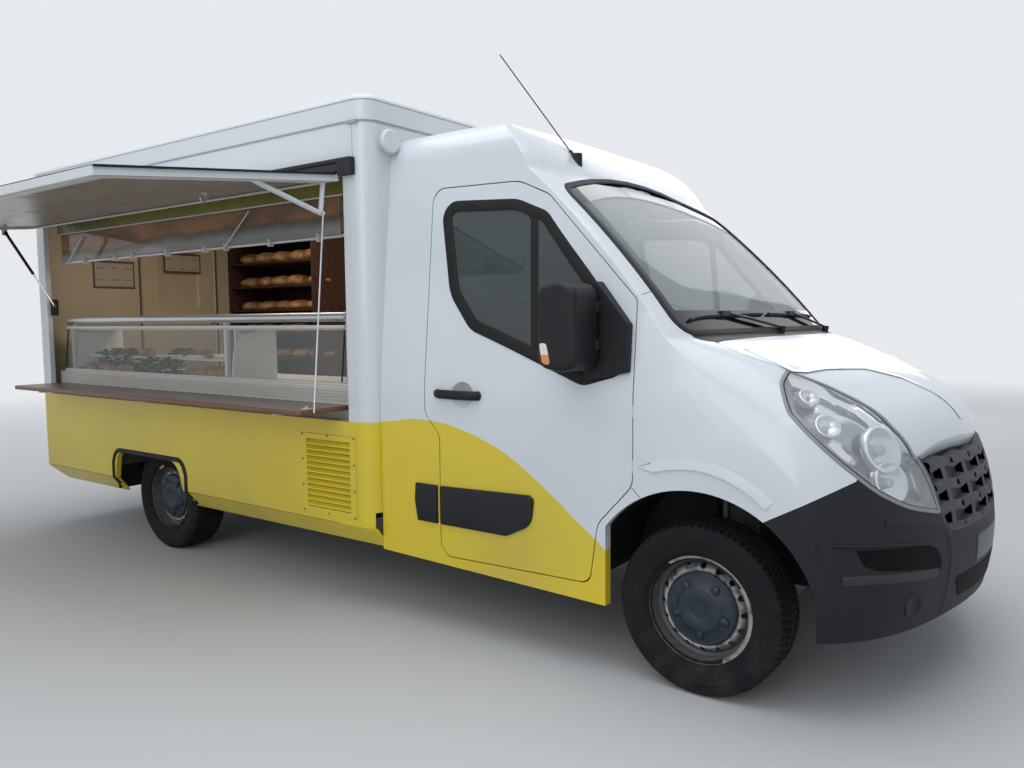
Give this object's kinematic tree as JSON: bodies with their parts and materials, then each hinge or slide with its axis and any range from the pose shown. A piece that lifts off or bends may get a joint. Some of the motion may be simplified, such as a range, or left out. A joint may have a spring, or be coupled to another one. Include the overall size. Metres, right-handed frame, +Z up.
{
  "type": "food truck",
  "caption": "Sales truck: van cab with a low two-tone box body, side hatch open over a folding shelf, and a glazed display counter inside.",
  "frame": {"origin": "on the ground below the middle of the whole vehicle's bounding box, with the hatch open", "axes": "+X forward along the vehicle's length, +Y to its left, +Z up; the sales hatch is on its right"},
  "size_m": [5.9826, 3.5552, 2.7948],
  "materials": {
    "tyre_rubber": "matt",
    "wheel_steel": "satin",
    "frame_black": "satin",
    "axle_steel": "satin",
    "engine_alloy": "satin",
    "exhaust_steel": "satin",
    "white_paint": "gloss",
    "white_panel": "gloss",
    "yellow_paint": "gloss",
    "black_plastic": "matt",
    "grey_plastic": "matt",
    "floor_mat": "matt",
    "clear_glass": "gloss",
    "lamp_lens": "gloss",
    "red_lens": "gloss",
    "seat_cloth": "matt",
    "alloy": "satin",
    "shelf_wood": "satin",
    "rack_wood": "satin",
    "counter_wood": "satin"
  },
  "bodies": {
    "vehicle": {"chassis_frame": "frame_black", "engine_block": "engine_alloy", "fuel_tank": "black_plastic", "exhaust": "exhaust_steel", "front_suspension": "axle_steel", "rear_axle": "axle_steel", "arch_liners": "black_plastic", "cab_shell": "white_paint", "cab_floor": "floor_mat", "front_wings": "white_paint", "front_bumper": "white_paint", "front_grille": "black_plastic", "headlamps": "lamp_lens", "windscreen": "clear_glass", "scuttle": "black_plastic", "dashboard": "grey_plastic", "cab_seats": "seat_cloth", "aerial": "black_plastic", "box_floor": "floor_mat", "box_roof": "white_panel", "box_right_wall": "white_panel", "box_left_wall": "white_panel", "box_front_wall": "white_panel", "box_rear_wall": "white_panel", "box_skirts": "yellow_paint", "vent_louvre": "yellow_paint", "hatch_frame": "alloy", "display_counter": "counter_wood", "display_glass": "clear_glass", "hanging_glass": "clear_glass", "bread_rack": "rack_wood", "roof_vent": "white_panel", "rear_lamps": "red_lens", "rear_bumper": "frame_black"},
    "knuckle_left": {"knuckle_left": "axle_steel"},
    "knuckle_right": {"knuckle_right": "axle_steel"},
    "steering_wheel": {"steering_wheel": "black_plastic"},
    "door_left": {"door_left": "white_paint", "door_glass_left": "clear_glass", "mirror_left": "black_plastic"},
    "door_right": {"door_right": "white_paint", "door_glass_right": "clear_glass", "mirror_right": "black_plastic"},
    "bonnet": {"bonnet": "white_paint"},
    "rear_door": {"rear_door": "white_panel"},
    "hatch": {"hatch_flap": "alloy"},
    "hatch_rod": {"hatch_rod": "alloy"},
    "strut_rod": {"strut_rod": "axle_steel"},
    "strut_tube": {"strut_tube": "frame_black"},
    "shelf": {"serving_shelf": "shelf_wood"},
    "wheel_front_left": {"tyre_front_left": "tyre_rubber", "rim_front_left": "wheel_steel"},
    "wheel_front_right": {"tyre_front_right": "tyre_rubber", "rim_front_right": "wheel_steel"},
    "wheel_rear_left": {"tyre_rear_left": "tyre_rubber", "rim_rear_left": "wheel_steel"},
    "wheel_rear_right": {"tyre_rear_right": "tyre_rubber", "rim_rear_right": "wheel_steel"}
  },
  "joints": [
    {"name": "steer_left", "type": "hinge", "parent": "vehicle", "child": "knuckle_left", "pos_m": [2.10875, 1.33258, 0.338], "axis": [0, 0, 1], "range_deg": [-35, 35]},
    {"name": "steer_right", "type": "hinge", "parent": "vehicle", "child": "knuckle_right", "pos_m": [2.10875, -0.24742, 0.338], "axis": [0, 0, 1], "range_deg": [-35, 35]},
    {"name": "steering_wheel_turn", "type": "hinge", "parent": "vehicle", "child": "steering_wheel", "pos_m": [1.58875, 1.02258, 1.235], "axis": [-0.848, 0, 0.5299], "range_deg": [-560, 560]},
    {"name": "spin_front_left", "type": "hinge", "parent": "knuckle_left", "child": "wheel_front_left", "pos_m": [2.10875, 1.41458, 0.338], "axis": [0, 1, 0], "continuous": true},
    {"name": "spin_front_right", "type": "hinge", "parent": "knuckle_right", "child": "wheel_front_right", "pos_m": [2.10875, -0.32942, 0.338], "axis": [0, 1, 0], "continuous": true},
    {"name": "spin_rear_left", "type": "hinge", "parent": "vehicle", "child": "wheel_rear_left", "pos_m": [-1.57325, 1.41458, 0.338], "axis": [0, 1, 0], "continuous": true},
    {"name": "spin_rear_right", "type": "hinge", "parent": "vehicle", "child": "wheel_rear_right", "pos_m": [-1.57325, -0.32942, 0.338], "axis": [0, 1, 0], "continuous": true},
    {"name": "door_left_swing", "type": "hinge", "parent": "vehicle", "child": "door_left", "pos_m": [1.86125, 1.57558, 1], "axis": [0, 0, -1], "range_deg": [0, 70]},
    {"name": "door_right_swing", "type": "hinge", "parent": "vehicle", "child": "door_right", "pos_m": [1.86125, -0.49042, 1], "axis": [0, 0, 1], "range_deg": [0, 70]},
    {"name": "bonnet_lift", "type": "hinge", "parent": "vehicle", "child": "bonnet", "pos_m": [2.12115, 0.54258, 1.383], "axis": [0, -1, 0], "range_deg": [0, 55]},
    {"name": "rear_door_swing", "type": "hinge", "parent": "vehicle", "child": "rear_door", "pos_m": [-2.95225, 0.87008, 1.45], "axis": [0, 0, -1], "range_deg": [0, 110]},
    {"name": "hatch_swing", "type": "hinge", "parent": "vehicle", "child": "hatch", "pos_m": [-1.25625, -0.57542, 2.187], "axis": [1, 0, 0], "range_deg": [0, 83.9]},
    {"name": "rod_swing", "type": "hinge", "parent": "hatch", "child": "hatch_rod", "pos_m": [0.28275, -0.66315, 1.99157], "axis": [1, 0, 0], "range_deg": [-83.9, 0]},
    {"name": "strut_swing", "type": "hinge", "parent": "hatch", "child": "strut_tube", "pos_m": [-2.78625, -0.81689, 2.09381], "axis": [1, 0, 0], "range_deg": [-117.3, 0]},
    {"name": "strut_slide", "type": "slide", "parent": "strut_tube", "child": "strut_rod", "axis": [0, -0.5124, 0.8587], "range_m": [0, 0.23748]},
    {"name": "shelf_fold", "type": "hinge", "parent": "vehicle", "child": "shelf", "pos_m": [-1.25625, -0.49142, 1.048], "axis": [1, 0, 0], "range_deg": [-90.01, 0]}
  ],
  "couplings": [
    {"joint": "steer_right", "follows": "steer_left", "ratio": 1},
    {"joint": "steering_wheel_turn", "follows": "steer_left", "ratio": 16},
    {"joint": "rod_swing", "follows": "hatch_swing", "ratio": -1},
    {"joint": "strut_swing", "follows": "hatch_swing", "ratio": -1.398},
    {"joint": "strut_slide", "follows": "hatch_swing", "m_per_rad": 0.16211},
    {"joint": "shelf_fold", "follows": "hatch_swing", "ratio": -1.0727}
  ]
}
